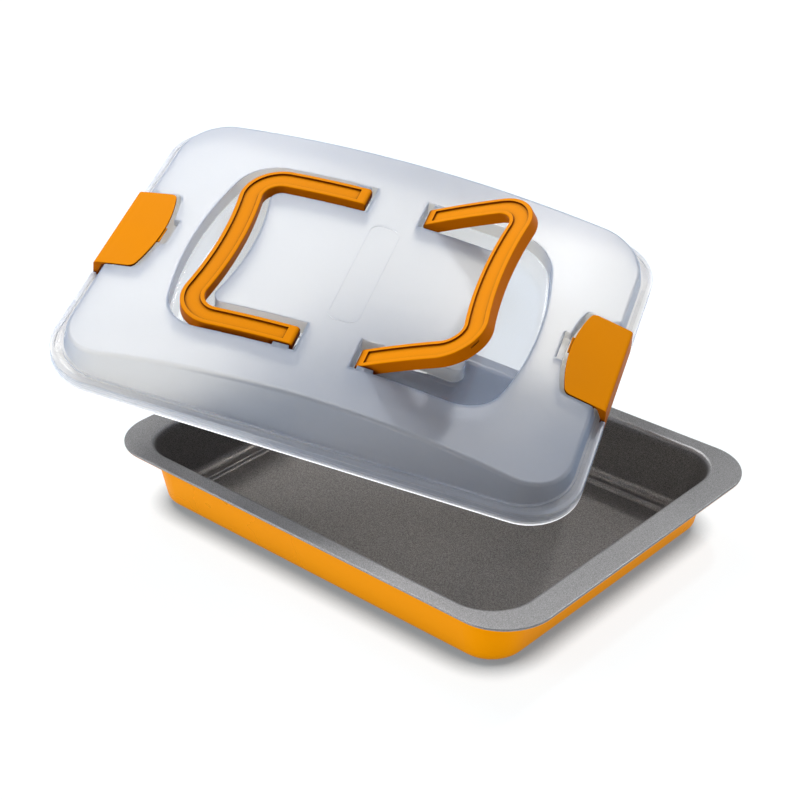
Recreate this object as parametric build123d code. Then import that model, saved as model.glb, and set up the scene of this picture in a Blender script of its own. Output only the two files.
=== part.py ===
from build123d import *
import math
import os

# Rectangular non-stick baking pan with an arched carrying lid.
#
# The pan is pressed from one steel sheet: drafted walls, a floor that steps down from a narrow
# ledge, and a wide flat rim with a turned edge. The lid is one moulding of frosted plastic.
# Two fold-down handles lie in recesses in its top, and a rocker clip at each end catches under
# the pan's rim. Handles and clips turn on pins moulded onto them.
#
# Everything is in millimetres. The pan stands on z = 0 with its length along X. The lid, its
# handles and its clips are drawn closed, in a frame whose origin is the centre of the skirt's
# lower edge, and are then placed lifted and tilted over the pan. The pieces at the +X end of
# the lid are drawn, and the same mouldings turned half round serve at its -X end.

# Pan
SHEET = 0.8
RIM_LENGTH = 400.0
RIM_WIDTH = 293.0
RIM_CORNER = 39.5
RIM_BREADTH_AT_END = 22.5
RIM_BREADTH_AT_SIDE = 14.1
OPENING_CORNER = 33.5
PAN_HEIGHT = 52.5
PAN_DRAFT = 10.0
WALL_FOOT_BEND = 7.2
LEDGE_HEIGHT = 3.0
LEDGE_BREADTH_AT_END = 11.2
LEDGE_BREADTH_AT_SIDE = 8.9
PANEL_CORNER = 24.0
PANEL_BEND = 2.6
LEDGE_BEND = 1.4
RIM_BEND = 3.6
HEM_WIDTH = 4.0
HEM_THICKNESS = 2.2
HEM_ROUND = 0.9

# Lid shell
LID_WALL = 1.5
RIM_CLEARANCE = 1.5
RIM_COVER = 8.0
BEAD_WIDTH = 3.4
BEAD_RISE = 1.7
BEAD_ROUND = 0.8
FOOT_INSET = 6.5
FOOT_CORNER = 42.0
FOOT_RISE = 2.0
FOOT_STEP = 1.2
DOME_DRAFT = 13.0
CROWN_HEIGHT = 47.0
END_HEIGHT = 22.5
TOP_ROUND = 3.5

# Name panel left bare: only its raised outline
PANEL_RING_LENGTH = 108.0
PANEL_RING_WIDTH = 25.0
PANEL_RING_CORNER = 9.0
PANEL_RING_LINE = 1.4
PANEL_RING_RISE = 0.5

# Handle, seen from above: two arms and a grip that is hollowed towards the lid's middle
HANDLE_NEAR = 24.0
HANDLE_FROM_END = 86.2
HANDLE_FROM_SIDE = 60.0
HANDLE_BOW = 12.7
HANDLE_CORNER = 32.0
HANDLE_BAND = 18.3
HANDLE_DEPTH = 10.0
HANDLE_PROUD = 1.0
HANDLE_BORDER = 3.2
HANDLE_PANEL_DEPTH = 1.4
HANDLE_END_BLOCK = 8.0
HANDLE_END_ROUND = 3.0
HANDLE_SOLID_END = 14.0
HANDLE_WALL = 2.4
HANDLE_ROUND = 0.9
HANDLE_TAIL_CHAMFER = 3.0
HANDLE_RIB = 1.8
HANDLE_RIB_PLACES = (-44.0, -15.0, 15.0, 44.0)
SLIT_FROM_CORNER = (12.5, 14.5)
SLIT_TURN = -33.0
SLIT_LENGTH = 8.0
SLIT_WIDTH = 1.5
SLIT_DEPTH = 1.2
SLIT_DROP = 2.6
PIVOT_X = 32.0
PIVOT_DEPTH = 4.4
PIN_RADIUS = 2.5
PIN_LENGTH = 4.2
PIN_CLEARANCE = 0.06
HANDLE_SIDE_GAP = 0.5

# Recess that a folded handle lies in
RECESS_DEPTH = 15.0
RECESS_END_GAP = 3.0
RECESS_SIDE_GAP = 4.0
RECESS_FINGER_GAP = 19.9
RECESS_BOW = 16.3
RECESS_CORNER = 34.0
RECESS_FLOOR_BEND = 2.0
MOUTH_ROUND = 0.5
ISLAND_GRIP_GAP = 9.0
ISLAND_ARM_GAP = 6.7
ISLAND_BOW = 9.9
ISLAND_CORNER = 9.0
LUG_LENGTH = 12.0
LUG_DROP = 0.6
PIN_END_GAP = 0.3

# Clip
CLIP_HALF_WIDTH = 43.0
CLIP_REACH = 40.7
CLIP_INNER_BOW = 7.1
CLIP_CORNER = 6.0
CLIP_PROUD = 0.6
CLIP_WALL = 2.0
CLIP_FLARE = 1.3
CLIP_BEND = 3.0
CLIP_EDGE_ROUND = 0.5
CLIP_FOOT_HEIGHT = 1.2
CLIP_HOOK_HEIGHT = 2.8
CLIP_HOOK_REACH = 2.8
CLIP_HOOK_LEAD = 1.4
CLIP_GUSSET_REACH = 8.5
CLIP_GUSSET_FOOT = 8.0
CLIP_GUSSET = 2.0
CLIP_SIDE_GAP = 0.6
CLIP_INNER_GAP = 3.5
CLIP_PIN_FROM_END = 14.0
CLIP_PIN_DEPTH = 4.55
CLIP_PIN_RADIUS = 2.0
CLIP_PIN_LENGTH = 3.4
CLIP_LUG_RADIUS = 3.4
NOTCH_DEPTH = 4.5
CLIP_TAB_WIDTH = 16.0
CLIP_TAB_REACH = 1.4
CLIP_TAB_Y = 4.0
CLIP_TAB_DROP = 0.4
CLIP_RECESS_DEPTH = 9.5
FINGER_BOX_WIDTH = 29.0
FINGER_BOX_REACH = 4.5
FINGER_BOX_DEPTH = 6.5
FINGER_BOX_CORNER = 1.5

# Where the lifted lid is held, and how far its right handle is raised
LID_PLACE = (-86.8, 22.8, 128.8)
LID_YAW = 25.9
LID_PITCH = 10.6
LID_ROLL = 17.5
RIGHT_HANDLE_RAISED = 34.0

# Places sampled along an edge, and how near two positions must be to count as one
THIRDS = (0.0, 0.33, 0.67, 1.0)
TOUCH = 0.01

# Sizes of the pan that follow from those above
OPENING_LENGTH = RIM_LENGTH - 2 * RIM_BREADTH_AT_END
OPENING_WIDTH = RIM_WIDTH - 2 * RIM_BREADTH_AT_SIDE
LEDGE_FALL = PAN_HEIGHT - LEDGE_HEIGHT - SHEET
LEDGE_INSET = LEDGE_FALL * math.tan(math.radians(PAN_DRAFT))
PANEL_LENGTH = OPENING_LENGTH - 2 * (LEDGE_INSET + LEDGE_BREADTH_AT_END)
PANEL_WIDTH = OPENING_WIDTH - 2 * (LEDGE_INSET + LEDGE_BREADTH_AT_SIDE)

# Sizes of the lid's shell
SKIRT_LENGTH = RIM_LENGTH + 2 * (RIM_CLEARANCE + LID_WALL)
SKIRT_WIDTH = RIM_WIDTH + 2 * (RIM_CLEARANCE + LID_WALL)
SKIRT_CORNER = RIM_CORNER + RIM_CLEARANCE + LID_WALL
SHOULDER_TOP = RIM_COVER + LID_WALL
BEAD_TOP = SHOULDER_TOP + BEAD_RISE
FOOT_TOP = SHOULDER_TOP + FOOT_RISE
FOOT_LENGTH = SKIRT_LENGTH - 2 * FOOT_INSET
FOOT_WIDTH = SKIRT_WIDTH - 2 * FOOT_INSET
ARCH_SPAN = FOOT_LENGTH / 2
ARCH_RISE = CROWN_HEIGHT - END_HEIGHT
ARCH_RADIUS = (ARCH_SPAN**2 + ARCH_RISE**2) / (2 * ARCH_RISE)
ARCH_CENTRE = CROWN_HEIGHT - ARCH_RADIUS
TALL = 2 * CROWN_HEIGHT
LID_END = SKIRT_LENGTH / 2
ARCH_REACH = LID_END + 2 * LID_WALL

# Sizes of the handles and their recesses
HANDLE_REACH = LID_END - HANDLE_FROM_END
HANDLE_HALF_WIDTH = SKIRT_WIDTH / 2 - HANDLE_FROM_SIDE
RECESS_REACH = HANDLE_REACH + RECESS_FINGER_GAP
RECESS_HALF_WIDTH = HANDLE_HALF_WIDTH + RECESS_SIDE_GAP
ISLAND_REACH = HANDLE_REACH - HANDLE_BAND - ISLAND_GRIP_GAP
ISLAND_HALF_WIDTH = HANDLE_HALF_WIDTH - HANDLE_BAND - ISLAND_ARM_GAP
PIVOT_Z = ARCH_CENTRE + math.sqrt(ARCH_RADIUS**2 - PIVOT_X**2) - PIVOT_DEPTH
PIN_HOLE_RADIUS = PIN_RADIUS + PIN_CLEARANCE
PIN_REACH = HANDLE_HALF_WIDTH + PIN_LENGTH

# Sizes of the clips and their recesses
CLIP_INNER_X = LID_END - CLIP_REACH
CLIP_MIDDLE_X = LID_END - CLIP_REACH / 2
CLIP_TOP_X = LID_END - CLIP_FLARE
CLIP_GUSSET_X = LID_END - CLIP_GUSSET_REACH
CLIP_PIN_X = LID_END - CLIP_PIN_FROM_END
CLIP_PIN_HEIGHT = ARCH_CENTRE + math.sqrt(ARCH_RADIUS**2 - CLIP_PIN_X**2) - CLIP_PIN_DEPTH
CLIP_SLOT_HALF_WIDTH = CLIP_HALF_WIDTH + CLIP_SIDE_GAP
CLIP_HOLE_RADIUS = CLIP_PIN_RADIUS + PIN_CLEARANCE
CLIP_PIN_REACH = CLIP_HALF_WIDTH + CLIP_PIN_LENGTH


def arch_height(x, depth=0.0):
    """Height at a distance x from the lid's middle, at a depth below its arched top."""
    return ARCH_CENTRE + math.sqrt((ARCH_RADIUS - depth)**2 - x**2)


def block(length, width, corner, low, high, draft=0.0):
    """Upright block with rounded corners. Draft narrows it towards the top."""
    outline = Pos(0, 0, low) * RectangleRounded(length, width, corner)
    return extrude(outline, amount=high - low, taper=draft)


def under_arch(depth):
    """Everything that lies deeper than depth below the lid's arched top."""
    radius = ARCH_RADIUS - depth
    side = ARCH_CENTRE + math.sqrt(radius**2 - ARCH_REACH**2)
    arc = ThreePointArc((-ARCH_REACH, side), (0, ARCH_CENTRE + radius), (ARCH_REACH, side))
    rest = Polyline((ARCH_REACH, side), (ARCH_REACH, -TALL), (-ARCH_REACH, -TALL), (-ARCH_REACH, side))
    return extrude(Plane.XZ * make_face(arc + rest), amount=SKIRT_WIDTH, both=True)


def edges_at_depth(shape, depth):
    """The edges of a shape that lie at a depth below the lid's arched top."""
    radius = ARCH_RADIUS - depth
    return [
        edge for edge in shape.edges()
        if all(abs(math.hypot(p.X, p.Z - ARCH_CENTRE) - radius) < TOUCH for p in edge.positions(THIRDS))
    ]


def bowed_outline(near, far, half_width, bow, corner):
    """Outline from a straight edge at x = near to a curved edge whose middle is at x = far.

    The curved edge meets the sides at x = far - bow, and its two corners are rounded.
    """
    side = far - bow
    straight = Polyline((side, half_width), (near, half_width), (near, -half_width), (side, -half_width))
    curve = ThreePointArc((side, -half_width), (far, 0), (side, half_width))
    outline = make_face(straight + curve)
    corners = outline.vertices().filter_by_position(Axis.X, side - TOUCH, side + TOUCH)
    return fillet(corners, corner)


def upright(outline):
    """Prism through the whole height of the lid."""
    return extrude(outline, amount=TALL)


def pan_form(grow):
    """The pan's inside as a solid, grown outwards by grow."""
    slope = math.tan(math.radians(PAN_DRAFT))
    wider = grow / math.cos(math.radians(PAN_DRAFT))
    ledge_top = LEDGE_HEIGHT + SHEET - grow
    fall = PAN_HEIGHT - ledge_top
    shrink = wider - fall * slope
    walls = block(
        OPENING_LENGTH + 2 * shrink, OPENING_WIDTH + 2 * shrink, OPENING_CORNER + shrink,
        ledge_top, PAN_HEIGHT, -PAN_DRAFT,
    )
    walls = fillet(walls.faces().sort_by(Axis.Z)[0].edges(), WALL_FOOT_BEND + grow)
    panel = block(
        PANEL_LENGTH + 2 * grow, PANEL_WIDTH + 2 * grow, PANEL_CORNER + grow,
        SHEET - grow, ledge_top + WALL_FOOT_BEND,
    )
    panel = fillet(panel.faces().sort_by(Axis.Z)[0].edges(), PANEL_BEND + grow)
    form = walls + panel
    ledge = form.faces().filter_by(Axis.Z).filter_by_position(Axis.Z, ledge_top - TOUCH, ledge_top + TOUCH)
    return fillet(ledge[0].inner_wires()[0].edges(), LEDGE_BEND - grow)


def make_pan():
    """Pressed steel pan with a flat rim whose edge is turned under."""
    hem_bottom = PAN_HEIGHT - HEM_THICKNESS
    underside = PAN_HEIGHT - SHEET
    rim = block(RIM_LENGTH, RIM_WIDTH, RIM_CORNER, hem_bottom, PAN_HEIGHT)
    turned_edges = rim.faces().sort_by(Axis.Z)[0].edges() + rim.faces().sort_by(Axis.Z)[-1].edges()
    rim = fillet(turned_edges, HEM_ROUND)
    rim -= block(
        RIM_LENGTH - 2 * HEM_WIDTH, RIM_WIDTH - 2 * HEM_WIDTH, RIM_CORNER - HEM_WIDTH,
        hem_bottom, underside,
    )
    pan = fillet(mouth_edges(rim + pan_form(SHEET), underside), RIM_BEND - SHEET)
    pan -= pan_form(0.0)
    return fillet(mouth_edges(pan, PAN_HEIGHT), RIM_BEND)


def mouth_edges(shape, height):
    """The ring of edges where the pan's walls meet its rim at a given height."""
    level = shape.edges().filter_by_position(Axis.Z, height - TOUCH, height + TOUCH)
    return [
        edge for edge in level
        if abs(edge.center().X) < OPENING_LENGTH / 2 + 2 * SHEET
        and abs(edge.center().Y) < OPENING_WIDTH / 2 + 2 * SHEET
    ]


def both_ends(shape):
    """A shape at the +X end of the lid together with the same shape at its -X end."""
    return shape + Rot(Z=180) * shape


def recess_form(grow):
    """The recess for a folded handle, round a raised island, grown outwards by grow."""
    outer = bowed_outline(
        HANDLE_NEAR - RECESS_END_GAP - grow, RECESS_REACH + grow,
        RECESS_HALF_WIDTH + grow, RECESS_BOW, RECESS_CORNER + grow,
    )
    island = bowed_outline(
        0, ISLAND_REACH - grow, ISLAND_HALF_WIDTH - grow, -ISLAND_BOW, ISLAND_CORNER - grow,
    )
    form = upright(outer - island) - under_arch(RECESS_DEPTH + grow)
    return fillet(edges_at_depth(form, RECESS_DEPTH + grow), RECESS_FLOOR_BEND + grow)


def clip_recess_form(grow):
    """The recess under a clip, open at the lid's end, with the box for a fingertip."""
    outline = bowed_outline(
        ARCH_REACH, CLIP_INNER_X - CLIP_INNER_GAP - grow,
        CLIP_SLOT_HALF_WIDTH + grow, -CLIP_INNER_BOW, CLIP_CORNER + grow,
    )
    box_inner = CLIP_INNER_X - CLIP_INNER_GAP - FINGER_BOX_REACH - grow
    box_outer = CLIP_INNER_X + FINGER_BOX_REACH
    box = Pos((box_inner + box_outer) / 2, 0) * RectangleRounded(
        box_outer - box_inner, FINGER_BOX_WIDTH + 2 * grow, FINGER_BOX_CORNER + grow
    )
    form = upright(outline) - under_arch(CLIP_RECESS_DEPTH + grow)
    return form + (upright(box) - under_arch(FINGER_BOX_DEPTH + grow))


def dome_form(shrink):
    """The drafted dome above the lid's foot, inset by shrink on every side."""
    inset = FOOT_STEP + shrink / math.cos(math.radians(DOME_DRAFT))
    dome = block(
        FOOT_LENGTH - 2 * inset, FOOT_WIDTH - 2 * inset, FOOT_CORNER - inset,
        SHOULDER_TOP, CROWN_HEIGHT + FOOT_RISE, DOME_DRAFT,
    )
    dome &= under_arch(shrink)
    return fillet(dome.faces().sort_by(Axis.Z)[-1].edges(), TOP_ROUND - shrink)


def ring_outline():
    """Outline raised round the place for a name."""
    ring = RectangleRounded(PANEL_RING_WIDTH, PANEL_RING_LENGTH, PANEL_RING_CORNER)
    return ring - offset(ring, -PANEL_RING_LINE)


def lid_outside():
    """The lid's outer form as a solid, with its recesses, notches and pin holes."""
    skirt = block(SKIRT_LENGTH, SKIRT_WIDTH, SKIRT_CORNER, 0, BEAD_TOP)
    skirt = fillet(skirt.faces().sort_by(Axis.Z)[-1].edges(), BEAD_ROUND)
    skirt -= block(
        SKIRT_LENGTH - 2 * BEAD_WIDTH, SKIRT_WIDTH - 2 * BEAD_WIDTH, SKIRT_CORNER - BEAD_WIDTH,
        SHOULDER_TOP, BEAD_TOP,
    )
    foot = block(FOOT_LENGTH, FOOT_WIDTH, FOOT_CORNER, RIM_COVER, FOOT_TOP)
    dome = dome_form(0.0) - both_ends(recess_form(0.0)) - both_ends(clip_recess_form(0.0))
    mouths = [
        edge for edge in edges_at_depth(dome, 0.0)
        if abs(edge.center().X) < CLIP_MIDDLE_X and abs(edge.center().Y) < RECESS_HALF_WIDTH + TOUCH
    ]
    dome = fillet(mouths, MOUTH_ROUND)
    raised_ring = (upright(ring_outline()) & under_arch(-PANEL_RING_RISE)) - under_arch(LID_WALL)

    lug_near = HANDLE_HALF_WIDTH + HANDLE_SIDE_GAP
    lug = Pos(PIVOT_X, lug_near + RECESS_SIDE_GAP / 2) * Rectangle(LUG_LENGTH, RECESS_SIDE_GAP)
    lugs = upright(lug + mirror(lug, Plane.XZ)) & under_arch(LUG_DROP)
    lugs -= under_arch(RECESS_DEPTH + LID_WALL / 2)
    form = skirt + foot + dome + raised_ring + both_ends(lugs)

    pin_end = PIN_REACH + PIN_END_GAP
    holes = rods(PIVOT_X, PIVOT_Z, PIN_HOLE_RADIUS, HANDLE_HALF_WIDTH, pin_end)
    clip_pin_end = CLIP_PIN_REACH + PIN_END_GAP
    holes += rods(CLIP_PIN_X, CLIP_PIN_HEIGHT, CLIP_HOLE_RADIUS, CLIP_HALF_WIDTH, clip_pin_end)
    notch_start = LID_END - NOTCH_DEPTH
    notch_length = ARCH_REACH - notch_start
    notch = Pos(notch_start + notch_length / 2, 0) * Rectangle(notch_length, 2 * CLIP_SLOT_HALF_WIDTH)
    return form - both_ends(holes) - both_ends(upright(notch))


def lid_inside():
    """The hollow under the lid as a solid, clear of the recesses and pin bosses."""
    cavity = block(
        SKIRT_LENGTH - 2 * LID_WALL, SKIRT_WIDTH - 2 * LID_WALL, SKIRT_CORNER - LID_WALL,
        0, RIM_COVER,
    )
    foot_cavity = block(
        FOOT_LENGTH - 2 * LID_WALL, FOOT_WIDTH - 2 * LID_WALL, FOOT_CORNER - LID_WALL,
        0, FOOT_TOP - LID_WALL,
    )
    form = cavity + foot_cavity + dome_form(LID_WALL)
    clip_recess = clip_recess_form(LID_WALL)
    boss_end = CLIP_PIN_REACH + PIN_END_GAP + LID_WALL
    boss_radius = CLIP_HOLE_RADIUS + LID_WALL
    clip_recess += rods(CLIP_PIN_X, CLIP_PIN_HEIGHT, boss_radius, CLIP_HALF_WIDTH, boss_end)
    return form - both_ends(recess_form(LID_WALL)) - both_ends(clip_recess)


def make_lid():
    """One-piece lid: skirt, bead, stepped foot and arched dome with four recesses."""
    return lid_outside() - lid_inside()


def rods(x, z, radius, low, high):
    """Two rods along Y, from y = low to y = high and mirrored."""
    length = high - low
    rod = Pos(x, (low + high) / 2, z) * Rot(90, 0, 0) * Cylinder(radius, length)
    return rod + mirror(rod, Plane.XZ)


def handle_outline(near, inset):
    """The handle's outline with its arms running in to x = near, moved inwards by inset."""
    outline = bowed_outline(near, HANDLE_REACH, HANDLE_HALF_WIDTH, -HANDLE_BOW, HANDLE_CORNER)
    return offset(outline, -inset) if inset else outline


def handle_band(near, inset):
    """The handle seen from above, its sides moved in by inset and its arms ending at x = near."""
    band = handle_outline(near - inset, inset)
    return band - handle_outline(0, HANDLE_BAND - inset)


def make_handle():
    """Folded carrying handle, hollow underneath, with pins on the ends of its arms."""
    handle = upright(handle_band(HANDLE_NEAR, 0.0)) & under_arch(-HANDLE_PROUD)
    handle -= under_arch(HANDLE_DEPTH - HANDLE_PROUD)
    handle = fillet(arm_end_edges(handle, -HANDLE_PROUD), HANDLE_END_ROUND)
    handle = chamfer(arm_end_edges(handle, HANDLE_DEPTH - HANDLE_PROUD), HANDLE_TAIL_CHAMFER)
    for depth in (-HANDLE_PROUD, HANDLE_DEPTH - HANDLE_PROUD):
        long_edges = [edge for edge in edges_at_depth(handle, depth) if edge.center().X > PIVOT_X]
        handle = fillet(long_edges, HANDLE_ROUND)
    panel = upright(handle_band(HANDLE_NEAR + HANDLE_END_BLOCK, HANDLE_BORDER))
    handle -= panel - under_arch(HANDLE_PANEL_DEPTH - HANDLE_PROUD)

    hollow = upright(handle_band(HANDLE_NEAR + HANDLE_SOLID_END, HANDLE_WALL))
    hollow &= under_arch(HANDLE_PANEL_DEPTH + HANDLE_WALL - HANDLE_PROUD)
    for place in HANDLE_RIB_PLACES:
        hollow -= upright(Pos(0, place) * Rectangle(2 * SKIRT_LENGTH, HANDLE_RIB))
    handle -= hollow

    slit_x = HANDLE_REACH + HANDLE_BOW - SLIT_FROM_CORNER[0]
    slit_y = HANDLE_HALF_WIDTH - SLIT_FROM_CORNER[1]
    slit_z = arch_height(slit_x, -HANDLE_PROUD) - SLIT_DROP
    slit = Pos(slit_x, -slit_y, slit_z) * Rot(Z=SLIT_TURN) * Box(2 * SLIT_DEPTH, SLIT_LENGTH, SLIT_WIDTH)
    pins = rods(PIVOT_X, PIVOT_Z, PIN_RADIUS, HANDLE_HALF_WIDTH - HANDLE_ROUND, PIN_REACH)
    return handle - slit + pins


def arm_end_edges(handle, depth):
    """The edges across the ends of the handle's arms at a depth below the arched top."""
    return [edge for edge in edges_at_depth(handle, depth) if abs(edge.center().X - HANDLE_NEAR) < TOUCH]


def make_clip():
    """Rocker clip: a flap bent down into a hooked leg, and pins on two lugs under it."""
    outline = bowed_outline(CLIP_TOP_X, CLIP_INNER_X, CLIP_HALF_WIDTH, -CLIP_INNER_BOW, CLIP_CORNER)
    flap = (upright(outline) & under_arch(-CLIP_PROUD)) - under_arch(CLIP_WALL - CLIP_PROUD)
    top = arch_height(CLIP_TOP_X, -CLIP_PROUD)
    hook_top = CLIP_FOOT_HEIGHT + CLIP_HOOK_HEIGHT
    hook_tip = LID_END - CLIP_WALL - CLIP_HOOK_REACH
    leg = Plane.XZ * Polygon(
        (CLIP_TOP_X, top),
        (LID_END, CLIP_FOOT_HEIGHT),
        (hook_tip + CLIP_HOOK_LEAD, CLIP_FOOT_HEIGHT),
        (hook_tip, CLIP_FOOT_HEIGHT + CLIP_HOOK_LEAD),
        (hook_tip, hook_top),
        (LID_END - CLIP_WALL, hook_top),
        (CLIP_TOP_X - CLIP_WALL, top),
        align=None,
    )
    clip = flap + extrude(leg, amount=CLIP_HALF_WIDTH, both=True)
    across = clip.edges().filter_by(Axis.Y)
    clip = fillet(across.filter_by_position(Axis.X, CLIP_TOP_X - TOUCH, CLIP_TOP_X + TOUCH), CLIP_BEND)
    flap_edges = [edge for edge in edges_at_depth(clip, -CLIP_PROUD) if edge.center().X < CLIP_GUSSET_X]
    clip = fillet(flap_edges, CLIP_EDGE_ROUND)

    tab_length = CLIP_TAB_REACH + CLIP_INNER_BOW
    tab_x = CLIP_INNER_X - CLIP_TAB_REACH + tab_length / 2
    tab = upright(Pos(tab_x, CLIP_TAB_Y) * Rectangle(tab_length, CLIP_TAB_WIDTH)) & under_arch(CLIP_TAB_DROP)
    clip += tab - under_arch(CLIP_WALL - CLIP_PROUD)
    gusset = Polygon(
        (CLIP_GUSSET_X, arch_height(CLIP_GUSSET_X) - CLIP_WALL / 2),
        (CLIP_TOP_X - CLIP_WALL / 2, top - CLIP_WALL / 2),
        (LID_END - CLIP_WALL, CLIP_GUSSET_FOOT),
        align=None,
    )
    lug = Pos(CLIP_PIN_X, CLIP_PIN_HEIGHT) * Circle(CLIP_LUG_RADIUS)
    lug += Pos(CLIP_PIN_X, CLIP_PIN_HEIGHT + CLIP_LUG_RADIUS / 2) * Rectangle(
        2 * CLIP_LUG_RADIUS, CLIP_LUG_RADIUS
    )
    for outline in (gusset, lug):
        side = Pos(0, CLIP_HALF_WIDTH, 0) * extrude(Plane.XZ * outline, amount=CLIP_GUSSET, dir=(0, -1, 0))
        clip += side
        clip += mirror(side, Plane.XZ)
    pins = rods(CLIP_PIN_X, CLIP_PIN_HEIGHT, CLIP_PIN_RADIUS, CLIP_HALF_WIDTH - CLIP_GUSSET, CLIP_PIN_REACH)
    return clip + pins


def main():
    """Make every piece, place it and write it out."""
    lifted = Pos(*LID_PLACE) * Rot(Z=LID_YAW) * Rot(Y=LID_PITCH) * Rot(X=LID_ROLL)
    half_turn = Rot(Z=180)
    raised = Pos(PIVOT_X, 0, PIVOT_Z) * Rot(Y=-RIGHT_HANDLE_RAISED) * Pos(-PIVOT_X, 0, -PIVOT_Z)
    handle = make_handle()
    clip = make_clip()
    pieces = {
        "pan": make_pan(),
        "lid": lifted * make_lid(),
        "handle_left": lifted * half_turn * handle,
        "handle_right": lifted * raised * handle,
        "clip_left": lifted * half_turn * clip,
        "clip_right": lifted * clip,
    }
    os.makedirs("parts", exist_ok=True)
    for name, piece in pieces.items():
        print(name, piece.is_valid, round(piece.volume), len(piece.solids()))
        export_step(piece, f"parts/{name}.step")


if __name__ == "__main__":
    main()
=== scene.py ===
import math

import bpy
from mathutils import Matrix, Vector

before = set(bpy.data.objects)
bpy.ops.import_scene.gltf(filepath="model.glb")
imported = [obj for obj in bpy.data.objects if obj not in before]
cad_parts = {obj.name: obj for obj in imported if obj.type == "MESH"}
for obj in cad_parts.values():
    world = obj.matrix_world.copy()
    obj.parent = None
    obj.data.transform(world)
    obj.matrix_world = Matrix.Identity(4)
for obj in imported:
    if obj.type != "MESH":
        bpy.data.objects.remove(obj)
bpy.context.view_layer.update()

# Rectangular baking pan with its arched lid held lifted over it. Everything is in metres.

# How the lid is held: where the centre of its skirt's bottom is, and its roll, pitch and yaw
LID_PLACE = (-0.0868, 0.0228, 0.1288)
LID_TURN = tuple(math.radians(angle) for angle in (17.5, 10.6, 25.9))
# The way that the lid's crown faces, and that the raised handle's top faces; orange faces turned
# from these get painted shade
LID_UP = (0.2892, -0.1939, 0.9374)
RAISED_HANDLE_UP = (-0.2547, -0.4008, 0.8800)

# The lid's arch, and the depth and half sizes of the area that holds its clear recess floors
ARCH_RADIUS = 0.800255
ARCH_CENTRE = -0.753255
RECESS_FLOOR = 0.0132
RECESS_HALF_LENGTH = 0.1385
RECESS_HALF_WIDTH = 0.0962

# Heights over the skirt's bottom, and the ridges' pace in radians per metre of height
FLANGE_TOP = 0.0095
# CUT_EDGE bounds the painted highlight line along the skirt's bottom
CUT_EDGE = 0.0011
FLANGE_RIDGES = 2600.0

# Heights on the pan: the enamel's upper end, and where the coating turns to the rim's painted
# lighter colour, for the rim lying clear of the lid's shade
HEM_BOTTOM = 0.0509
LIT_RIM_FROM = 0.046
LIT_RIM_TO = 0.051
# A face of the pan looks outward, or down, past these
OUTWARD_FROM = 0.004
UNDERNEATH_FROM = -0.2

COATING_DARK = (0.10, 0.094, 0.09, 1.0)
COATING_LIGHT = (0.31, 0.292, 0.278, 1.0)
# The rim's colours: the inside coating painted lighter, as light, for the rim lying clear of the
# lid's shade
LIT_RIM_DARK = (0.17, 0.168, 0.17, 1.0)
LIT_RIM_LIGHT = (0.35, 0.347, 0.35, 1.0)
# Worn steel on the rim's edges, which also stands as a painted highlight
WORN_AND_HIGHLIGHT_STEEL = (0.62, 0.62, 0.63, 1.0)
ENAMEL_DEEP = (0.90, 0.32, 0.0, 1.0)
ENAMEL_BRIGHT = (0.95, 0.345, 0.0, 1.0)
COATING_METALLIC = 0.65
ENAMEL_METALLIC = 0.35
# How far the rim's edges go to worn steel and painted highlight
RIM_WEAR_AND_HIGHLIGHT = 0.8

FROSTED_WALL = (0.90, 0.825, 0.715, 1.0)
CLEAR_WALL = (1.0, 0.975, 0.93, 1.0)
HAZE_TINT = (0.15, 0.45, 1.0, 1.0)
NO_GLOW = (0.0, 0.0, 0.0, 1.0)
# Painted highlight: a thin glowing line along the skirt's cut edge
CUT_EDGE_PAINTED_HIGHLIGHT = (0.85, 0.87, 0.9, 1.0)
POLISHED = 0.015
MILKY = 0.75
SHADOW_ALPHA = 0.6
# The middle height of the grain, which leaves a polished face flat
FLAT_HEIGHT = 0.5

ORANGE = (0.86, 0.28, 0.0, 1.0)
DEEP_ORANGE = (0.80, 0.26, 0.0, 1.0)
# Edge orange for both wear and a painted highlight
WORN_AND_HIGHLIGHT_ORANGE = (0.95, 0.42, 0.03, 1.0)
# Painted shade: the side faces' orange, and the dark orange in grooves, slits and inner corners
SIDE_PAINTED_SHADE = (0.55, 0.135, 0.0, 1.0)
GROOVE_PAINTED_SHADE = (0.12, 0.02, 0.0, 1.0)
ORANGE_GLOSS = (1.0, 0.5, 0.04, 1.0)
HANDLE_ROUGHNESS = 0.42
CLIP_ROUGHNESS = 0.5
ROUGHNESS_DRIFT = 0.05
# How far the plastic's edges go to that edge orange, for wear and painted highlight
PLASTIC_WEAR_AND_HIGHLIGHT = 0.5

FLOOR_PAINT = (0.14, 0.18, 0.20, 1.0)
FLOOR_OPEN = (1.0, 1.0, 1.0, 1.0)
# Painted contact shadow close around what stands on the floor
FLOOR_PAINTED_SHADOW = (0.22, 0.24, 0.26, 1.0)
CONTACT_REACH = 0.026

CAMERA_PLACE = (0.760026, -0.860388, 0.721233)
CAMERA_TURN = tuple(math.radians(angle) for angle in (61.4482, 0.7119, 42.0466))
STUDIO_TINT = (0.94, 0.97, 1.0, 1.0)
STUDIO_LIGHT = 0.38
STUDIO_BACKDROP = 1.0

# Values of the slow noise that reach the two ends of a roughness
DRIFT_LOW = 0.3
DRIFT_HIGH = 0.7


def clear_selection():
    bpy.ops.object.select_all(action="DESELECT")


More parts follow.
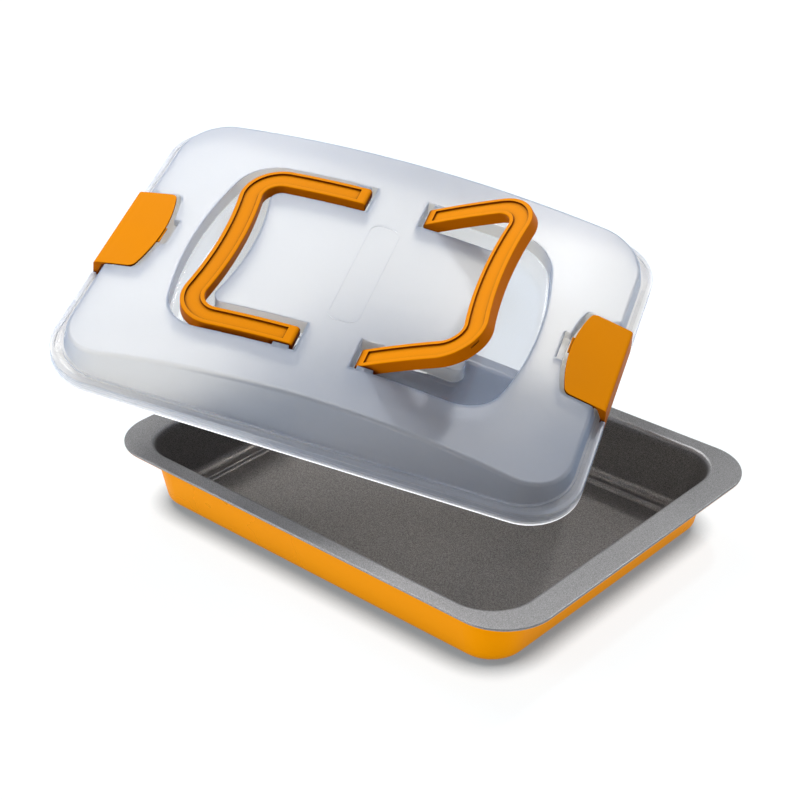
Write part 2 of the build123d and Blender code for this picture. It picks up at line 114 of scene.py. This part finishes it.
class Nodes:
    """Adds and links the nodes of one material, group or world."""

    def __init__(self, tree):
        self.tree = tree

    def add(self, kind, **settings):
        node = self.tree.nodes.new(kind)
        for name, value in settings.items():
            setattr(node, name, value)
        return node

    def feed(self, socket, value):
        if isinstance(value, bpy.types.NodeSocket):
            self.tree.links.new(value, socket)
        else:
            socket.default_value = value

    def math(self, operation, first, second=0.0):
        node = self.add("ShaderNodeMath", operation=operation)
        self.feed(node.inputs[0], first)
        self.feed(node.inputs[1], second)
        return node.outputs[0]

    def dot(self, first, second):
        node = self.add("ShaderNodeVectorMath", operation="DOT_PRODUCT")
        self.feed(node.inputs[0], first)
        self.feed(node.inputs[1], second)
        return node.outputs["Value"]

    def mix(self, factor, first, second):
        """Mixes two colours."""
        return self._mix("RGBA", factor, first, second)

    def blend(self, factor, first, second):
        """Mixes two numbers."""
        return self._mix("FLOAT", factor, first, second)

    def _mix(self, kind, factor, first, second):
        node = self.add("ShaderNodeMix", data_type=kind)
        self.feed(node.inputs["Factor"], factor)
        self.feed(node.inputs["A"], first)
        self.feed(node.inputs["B"], second)
        return node.outputs["Result"]

    def noise(self, coordinates, scale, detail, roughness):
        node = self.add("ShaderNodeTexNoise")
        self.feed(node.inputs["Vector"], coordinates)
        self.feed(node.inputs["Scale"], scale)
        self.feed(node.inputs["Detail"], detail)
        self.feed(node.inputs["Roughness"], roughness)
        return node.outputs["Fac"]

    def spread(self, value, start, end, to_start=0.0, to_end=1.0):
        """Takes one range of values onto another, and holds it there."""
        node = self.add("ShaderNodeMapRange")
        self.feed(node.inputs["Value"], value)
        self.feed(node.inputs["From Min"], start)
        self.feed(node.inputs["From Max"], end)
        self.feed(node.inputs["To Min"], to_start)
        self.feed(node.inputs["To Max"], to_end)
        return node.outputs["Result"]

    def drift_between(self, drift, smooth, rough):
        """A roughness that wanders between two values with the slow noise."""
        return self.spread(drift, DRIFT_LOW, DRIFT_HIGH, smooth, rough)

    def object_place(self):
        return self.add("ShaderNodeTexCoord").outputs["Object"]

    def split(self, vector):
        node = self.add("ShaderNodeSeparateXYZ")
        self.feed(node.inputs[0], vector)
        return node.outputs

    def bump(self, height, strength, distance, normal=None):
        node = self.add("ShaderNodeBump")
        self.feed(node.inputs["Height"], height)
        node.inputs["Strength"].default_value = strength
        node.inputs["Distance"].default_value = distance
        if normal is not None:
            self.feed(node.inputs["Normal"], normal)
        return node.outputs["Normal"]


def new_group(name, inputs, outputs):
    """A node group whose inputs and outputs are all plain numbers."""
    tree = bpy.data.node_groups.new(name, "ShaderNodeTree")
    for label, value in inputs.items():
        socket = tree.interface.new_socket(label, in_out="INPUT", socket_type="NodeSocketFloat")
        socket.default_value = value
    for label in outputs:
        tree.interface.new_socket(label, in_out="OUTPUT", socket_type="NodeSocketFloat")
    nodes = Nodes(tree)
    given = nodes.add("NodeGroupInput").outputs
    result = nodes.add("NodeGroupOutput").inputs
    return tree, nodes, given, result


def make_grain_group():
    """Fine moulded or sprayed grain: a height for a bump, and a slow drift for roughness."""
    tree, nodes, given, result = new_group(
        "surface_grain", {"Grain scale": 900.0, "Drift scale": 14.0}, ("Height", "Drift")
    )
    where = nodes.object_place()
    height = nodes.noise(where, given["Grain scale"], detail=3.0, roughness=0.6)
    drift = nodes.noise(where, given["Drift scale"], detail=4.0, roughness=0.55)
    nodes.feed(result["Height"], height)
    nodes.feed(result["Drift"], drift)
    return tree


def make_groove_group():
    """A mask for painted shade: 1 on open faces, falling to 0 in grooves, slits, inner corners and
    close to other parts.
    """
    tree, nodes, given, result = new_group("groove_shade", {"Reach": 0.004}, ("Open",))
    hidden = nodes.add("ShaderNodeAmbientOcclusion", samples=8)
    nodes.feed(hidden.inputs["Distance"], given["Reach"])
    nodes.feed(result["Open"], nodes.spread(hidden.outputs["AO"], start=0.5, end=0.92))
    return tree


def make_edge_group():
    """A mask that is 1 on rounded-over edges, broken up as wear is, and 0 on flat faces; it places
    edge wear and a painted highlight together.
    """
    tree, nodes, given, result = new_group(
        "edge_wear_and_highlight", {"Width": 0.001, "Patch scale": 160.0}, ("Edge",)
    )
    rounded = nodes.add("ShaderNodeBevel", samples=4)
    nodes.feed(rounded.inputs["Radius"], given["Width"])
    flat = nodes.add("ShaderNodeNewGeometry").outputs["True Normal"]
    edge = nodes.spread(nodes.dot(rounded.outputs["Normal"], flat), start=0.985, end=0.90)
    patches = nodes.noise(nodes.object_place(), given["Patch scale"], detail=3.0, roughness=0.6)
    wear_and_highlight_patches = nodes.spread(patches, start=0.3, end=0.6, to_start=0.35, to_end=1.0)
    nodes.feed(result["Edge"], nodes.math("MULTIPLY", edge, wear_and_highlight_patches))
    return tree


def new_material(name):
    material = bpy.data.materials.new(name)
    material.use_nodes = True
    nodes = Nodes(material.node_tree)
    shader = material.node_tree.nodes["Principled BSDF"]
    return material, nodes, shader


def place_group(nodes, tree, **values):
    """Places a group in a material. Underscores in the value's names stand for spaces."""
    node = nodes.add("ShaderNodeGroup", node_tree=tree)
    for name, value in values.items():
        nodes.feed(node.inputs[name.replace("_", " ")], value)
    return node.outputs


def find_enamel(nodes, place):
    """A mask that is 1 on the pan's outer walls below the hem, and underneath it."""
    way = nodes.split(nodes.add("ShaderNodeNewGeometry").outputs["True Normal"])
    along = nodes.math("MULTIPLY", place["X"], way["X"])
    across = nodes.math("MULTIPLY", place["Y"], way["Y"])
    outward = nodes.math("GREATER_THAN", nodes.math("ADD", along, across), OUTWARD_FROM)
    below_hem = nodes.math("LESS_THAN", place["Z"], HEM_BOTTOM)
    outer_wall = nodes.math("MULTIPLY", outward, below_hem)
    underneath = nodes.math("LESS_THAN", way["Z"], UNDERNEATH_FROM)
    return nodes.math("MAXIMUM", outer_wall, underneath)


def make_pan_material(grain_group, edge_group):
    """Orange enamel outside, and dark speckled non-stick coating inside and over the rim, painted
    lighter on the rim as light, with worn steel and a painted highlight on its edges.
    """
    material, nodes, shader = new_material("pan_coatings")
    where = nodes.object_place()
    place = nodes.split(where)
    enamelled = find_enamel(nodes, place)
    grain = place_group(nodes, grain_group, Grain_scale=1500.0, Drift_scale=9.0)

    specks = nodes.noise(where, scale=2100.0, detail=1.0, roughness=0.5)
    flecks = nodes.spread(specks, start=0.36, end=0.64)
    inside = nodes.mix(flecks, COATING_DARK, COATING_LIGHT)
    rim = nodes.mix(flecks, LIT_RIM_DARK, LIT_RIM_LIGHT)
    # The rim is painted lighter than the same coating inside, as light: the inside lies in the
    # lid's shade
    on_lit_rim = nodes.spread(place["Z"], LIT_RIM_FROM, LIT_RIM_TO)
    coating = nodes.mix(on_lit_rim, inside, rim)
    # Edges go to worn steel, which also stands as a painted highlight
    worn_and_highlit = place_group(nodes, edge_group, Width=0.0012, Patch_scale=120.0)["Edge"]
    worn_and_highlit_coating = nodes.mix(nodes.math("MULTIPLY", worn_and_highlit, RIM_WEAR_AND_HIGHLIGHT), coating, WORN_AND_HIGHLIGHT_STEEL)
    enamel = nodes.mix(grain["Drift"], ENAMEL_DEEP, ENAMEL_BRIGHT)
    nodes.feed(shader.inputs["Base Color"], nodes.mix(enamelled, worn_and_highlit_coating, enamel))

    dull = nodes.drift_between(grain["Drift"], smooth=0.32, rough=0.42)
    sleek = nodes.drift_between(grain["Drift"], smooth=0.24, rough=0.34)
    nodes.feed(shader.inputs["Roughness"], nodes.blend(enamelled, dull, sleek))
    metallic = nodes.blend(enamelled, COATING_METALLIC, ENAMEL_METALLIC)
    nodes.feed(shader.inputs["Metallic"], metallic)
    shader.inputs["Specular IOR Level"].default_value = 0.0
    nodes.feed(shader.inputs["Normal"], nodes.bump(grain["Height"], strength=0.25, distance=0.0003))
    return material


def find_lid_place(nodes):
    """Where a point lies in the lid's own directions, from the centre of its skirt's bottom."""
    mapping = nodes.add("ShaderNodeMapping", vector_type="TEXTURE")
    nodes.feed(mapping.inputs["Vector"], nodes.object_place())
    mapping.inputs["Location"].default_value = LID_PLACE
    mapping.inputs["Rotation"].default_value = LID_TURN
    return nodes.split(mapping.outputs["Vector"])


def find_clear_floors(nodes, place):
    """A mask that is 1 on the floors of the handles' recesses, deep under the arch."""
    from_axis = nodes.math("ADD", place["Z"], -ARCH_CENTRE)
    squares = nodes.math(
        "ADD", nodes.math("POWER", place["X"], 2.0), nodes.math("POWER", from_axis, 2.0)
    )
    depth = nodes.math("SUBTRACT", ARCH_RADIUS, nodes.math("SQRT", squares))
    deep = nodes.math("GREATER_THAN", depth, RECESS_FLOOR)
    short = nodes.math("LESS_THAN", nodes.math("ABSOLUTE", place["X"]), RECESS_HALF_LENGTH)
    narrow = nodes.math("LESS_THAN", nodes.math("ABSOLUTE", place["Y"]), RECESS_HALF_WIDTH)
    return nodes.math("MULTIPLY", deep, nodes.math("MULTIPLY", short, narrow))


def make_lid_material(grain_group):
    """Frosted translucent plastic that is polished clear on the floors of the recesses, with a
    painted highlight glowing along the skirt's cut edge.
    """
    material, nodes, shader = new_material("frosted_lid")
    place = find_lid_place(nodes)
    clear = find_clear_floors(nodes, place)
    flange = nodes.math("LESS_THAN", place["Z"], FLANGE_TOP)
    cut_edge = nodes.math("LESS_THAN", place["Z"], CUT_EDGE)
    grain = place_group(nodes, grain_group, Grain_scale=1100.0, Drift_scale=12.0)

    nodes.feed(shader.inputs["Base Color"], nodes.mix(clear, FROSTED_WALL, CLEAR_WALL))
    frosted = nodes.drift_between(grain["Drift"], smooth=0.36, rough=0.44)
    wall = nodes.blend(flange, frosted, MILKY)
    nodes.feed(shader.inputs["Roughness"], nodes.blend(clear, wall, POLISHED))
    shader.inputs["Transmission Weight"].default_value = 0.86
    shader.inputs["IOR"].default_value = 1.45
    shader.inputs["Sheen Weight"].default_value = 0.29
    shader.inputs["Sheen Roughness"].default_value = 1.0
    shader.inputs["Sheen Tint"].default_value = HAZE_TINT
    nodes.feed(shader.inputs["Coat Weight"], flange)
    shader.inputs["Coat Roughness"].default_value = 0.12
    shader.inputs["Coat IOR"].default_value = 1.8
    # Painted highlight: the skirt's cut edge glows as a thin light line
    nodes.feed(shader.inputs["Emission Color"], nodes.mix(cut_edge, NO_GLOW, CUT_EDGE_PAINTED_HIGHLIGHT))
    shader.inputs["Emission Strength"].default_value = 0.8

    # The wall lets part of the light through to what it shades
    shadow = nodes.add("ShaderNodeLightPath").outputs["Is Shadow Ray"]
    nodes.feed(shader.inputs["Alpha"], nodes.blend(shadow, 1.0, SHADOW_ALPHA))

    waves = nodes.math("SINE", nodes.math("MULTIPLY", place["Z"], FLANGE_RIDGES))
    ridges = nodes.math("MULTIPLY", waves, flange)
    fine_grain = nodes.blend(clear, grain["Height"], FLAT_HEIGHT)
    satin = nodes.bump(fine_grain, strength=0.06, distance=0.0002)
    ridged = nodes.bump(ridges, strength=0.6, distance=0.0003, normal=satin)
    nodes.feed(shader.inputs["Normal"], ridged)
    return material


def make_orange_plastic(name, groups, top_way, roughness):
    """Satin moulded plastic with painted shade in its grooves, close to the lid and on the faces
    turned from top_way, and with edges lighter for wear and a painted highlight.
    """
    grain_group, groove_group, edge_group = groups
    material, nodes, shader = new_material(name)
    grain = place_group(nodes, grain_group, Grain_scale=1300.0, Drift_scale=22.0)

    plain = nodes.mix(grain["Drift"], DEEP_ORANGE, ORANGE)
    facing = nodes.add("ShaderNodeTexCoord").outputs["Normal"]
    # Painted shade: faces turned from top_way and faces close to the lid go to the darker side
    # orange
    lit_tops = nodes.spread(nodes.dot(facing, top_way), start=0.3, end=0.85)
    clear_of_lid = place_group(nodes, groove_group, Reach=0.016)["Open"]
    shaded = nodes.mix(nodes.math("MINIMUM", lit_tops, clear_of_lid), SIDE_PAINTED_SHADE, plain)
    # Edges lighter, for wear and a painted highlight
    worn_and_highlit = place_group(nodes, edge_group, Width=0.0006, Patch_scale=200.0)["Edge"]
    rubbed_and_highlit = nodes.mix(nodes.math("MULTIPLY", worn_and_highlit, PLASTIC_WEAR_AND_HIGHLIGHT), shaded, WORN_AND_HIGHLIGHT_ORANGE)
    # Painted shade: dark orange in grooves, slits and inner corners
    open_faces = place_group(nodes, groove_group, Reach=0.005)["Open"]
    nodes.feed(shader.inputs["Base Color"], nodes.mix(open_faces, GROOVE_PAINTED_SHADE, rubbed_and_highlit))

    satin = nodes.drift_between(
        grain["Drift"], roughness - ROUGHNESS_DRIFT, roughness + ROUGHNESS_DRIFT
    )
    nodes.feed(shader.inputs["Roughness"], satin)
    shader.inputs["Specular IOR Level"].default_value = 0.04
    shader.inputs["Specular Tint"].default_value = ORANGE_GLOSS
    nodes.feed(shader.inputs["Normal"], nodes.bump(grain["Height"], strength=0.2, distance=0.0002))
    return material


def dress(node, material):
    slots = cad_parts[node].data.materials
    slots.clear()
    slots.append(material)


def make_floor():
    """A pale floor that glows evenly, with a painted contact shadow close around what stands on it.
    """
    clear_selection()
    bpy.ops.mesh.primitive_plane_add(size=12.0, location=(0, 0, 0))
    floor = bpy.context.object
    floor.name = "floor"
    material, nodes, shader = new_material("pale_floor")
    shader.inputs["Base Color"].default_value = FLOOR_PAINT
    # Painted contact shadow: the floor's glow darkens where other things hide it
    near = nodes.add("ShaderNodeAmbientOcclusion", samples=16)
    near.inputs["Distance"].default_value = CONTACT_REACH
    glow = nodes.spread(near.outputs["AO"], start=0.42, end=0.86)
    nodes.feed(shader.inputs["Emission Color"], nodes.mix(glow, FLOOR_PAINTED_SHADOW, FLOOR_OPEN))
    shader.inputs["Emission Strength"].default_value = 0.89
    shader.inputs["Roughness"].default_value = 1.0
    shader.inputs["Specular IOR Level"].default_value = 0.0
    floor.data.materials.append(material)


def make_light(name, place, aim, side, power):
    """A square area light at one point, facing another."""
    clear_selection()
    bpy.ops.object.light_add(type="AREA", location=place)
    light = bpy.context.object
    light.name = name
    light.data.shape = "RECTANGLE"
    light.data.size = light.data.size_y = side
    light.data.energy = power
    light.rotation_euler = (Vector(aim) - Vector(place)).to_track_quat("-Z", "Y").to_euler()


def make_camera():
    clear_selection()
    bpy.ops.object.camera_add(location=CAMERA_PLACE, rotation=CAMERA_TURN)
    camera = bpy.context.object
    camera.data.sensor_width = 36.0
    camera.data.lens = 79.826
    camera.data.clip_start = 0.05
    bpy.context.scene.camera = camera


def set_world():
    """A dim studio all round, seen as white behind the object."""
    world = bpy.data.worlds.new("studio")
    world.use_nodes = True
    background = world.node_tree.nodes["Background"]
    background.inputs["Color"].default_value = STUDIO_TINT
    nodes = Nodes(world.node_tree)
    seen = nodes.add("ShaderNodeLightPath").outputs["Is Camera Ray"]
    strength = nodes.blend(seen, STUDIO_LIGHT, STUDIO_BACKDROP)
    nodes.feed(background.inputs["Strength"], strength)
    bpy.context.scene.world = world
    bpy.context.scene.view_settings.view_transform = "Standard"


grain_group = make_grain_group()
groove_group = make_groove_group()
edge_group = make_edge_group()
plastic_groups = (grain_group, groove_group, edge_group)
clip_material = make_orange_plastic("orange_clip", plastic_groups, LID_UP, CLIP_ROUGHNESS)

dress("pan", make_pan_material(grain_group, edge_group))
dress("lid", make_lid_material(grain_group))
dress(
    "handle_left",
    make_orange_plastic("orange_handle_left", plastic_groups, LID_UP, HANDLE_ROUGHNESS),
)
dress(
    "handle_right",
    make_orange_plastic("orange_handle_right", plastic_groups, RAISED_HANDLE_UP, HANDLE_ROUGHNESS),
)
dress("clip_left", clip_material)
dress("clip_right", clip_material)

make_floor()
set_world()
make_light("left_softbox", place=(-1.7, 0.9, 2.6), aim=(-0.05, 0.0, 0.1), side=1.8, power=46)
make_light("key", place=(0.03, 1.20, 1.48), aim=(0.03, -0.01, 0.155), side=0.16, power=11)
make_light("front_fill", place=(-1.5, -2.0, 1.5), aim=(0.0, 0.0, 0.1), side=1.4, power=32)
make_camera()
